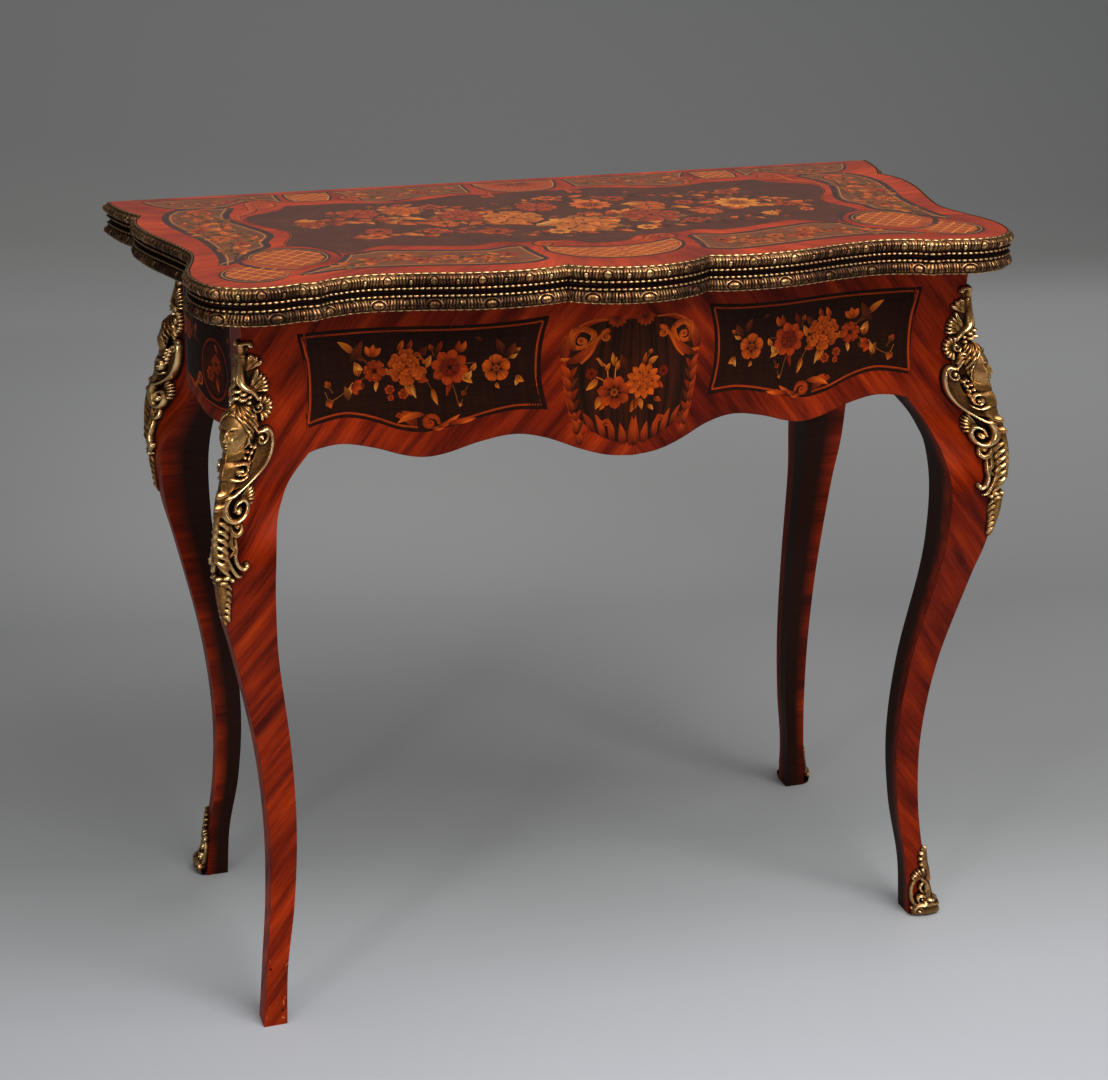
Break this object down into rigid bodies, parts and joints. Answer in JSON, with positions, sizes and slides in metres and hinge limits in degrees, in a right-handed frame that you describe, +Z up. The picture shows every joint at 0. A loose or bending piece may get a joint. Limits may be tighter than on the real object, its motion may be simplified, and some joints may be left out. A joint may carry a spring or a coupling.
{
  "type": "folding games table",
  "caption": "Serpentine card table with inlaid flower marquetry, gilt brass edge and mask mounts, a top that swivels over a card well and folds open to a baize square",
  "frame": {"origin": "on the floor, under the middle of the closed table's plan box", "axes": "+X to the table's right as its user faces the front, which looks towards -Y; +Z up. The straight back edge of the closed top is at the +Y side"},
  "size_m": [0.8748, 0.4388, 0.77],
  "materials": {
    "kingwood": "french polished kingwood and tulipwood veneer with flower marquetry",
    "top_veneer": "french polished marquetry on the upper leaf, plain polished veneer elsewhere",
    "carcase_wood": "unpolished oak and pine, sawn and planed",
    "green_baize": "glued wool baize",
    "gilt_mount": "cast and chased brass, worn gilding, dark in the hollows",
    "bright_brass": "plain rolled brass",
    "iron": "plain turned iron"
  },
  "bodies": {
    "frame": {"front_apron": "kingwood", "back_apron": "kingwood", "left_apron": "kingwood", "right_apron": "kingwood", "front_left_leg": "kingwood", "front_right_leg": "kingwood", "back_left_leg": "kingwood", "back_right_leg": "kingwood", "glue_blocks": "carcase_wood", "well_bottom": "carcase_wood", "well_lining": "green_baize", "well_ledges": "carcase_wood", "well_divider": "carcase_wood", "pivot_rail": "carcase_wood", "rail_plate": "bright_brass", "rail_plate_screws": "bright_brass", "pivot_bush": "bright_brass", "slide_felts": "green_baize", "front_left_chute": "gilt_mount", "front_right_chute": "gilt_mount", "back_left_chute": "gilt_mount", "back_right_chute": "gilt_mount", "front_right_sabot": "gilt_mount", "back_left_sabot": "gilt_mount", "back_right_sabot": "gilt_mount"},
    "lower_top": {"lower_leaf": "top_veneer", "lower_baize": "green_baize", "lower_left_moulding": "gilt_mount", "lower_front_moulding": "gilt_mount", "lower_right_moulding": "gilt_mount", "leaf_plate": "bright_brass", "leaf_plate_screws": "bright_brass", "pivot_bolt": "iron", "pivot_washer": "iron", "pivot_nut": "iron", "stop_pin": "iron", "left_hinge_lower_plate": "bright_brass", "right_hinge_lower_plate": "bright_brass", "left_hinge_pin": "bright_brass", "right_hinge_pin": "bright_brass", "lower_hinge_screws": "bright_brass"},
    "upper_top": {"upper_leaf": "top_veneer", "upper_baize": "green_baize", "upper_left_moulding": "gilt_mount", "upper_front_moulding": "gilt_mount", "upper_right_moulding": "gilt_mount", "left_hinge_upper_plate": "bright_brass", "right_hinge_upper_plate": "bright_brass", "upper_hinge_screws": "bright_brass"}
  },
  "joints": [
    {"name": "top_swivel", "type": "hinge", "parent": "frame", "child": "lower_top", "pos_m": [0.10025, 0.11077, 0.7356], "axis": [0, 0, 1], "range_deg": [0, 90]},
    {"name": "leaf_fold", "type": "hinge", "parent": "lower_top", "child": "upper_top", "pos_m": [0, 0.21132, 0.7528], "axis": [-1, 0, 0], "range_deg": [0, 180]}
  ]
}
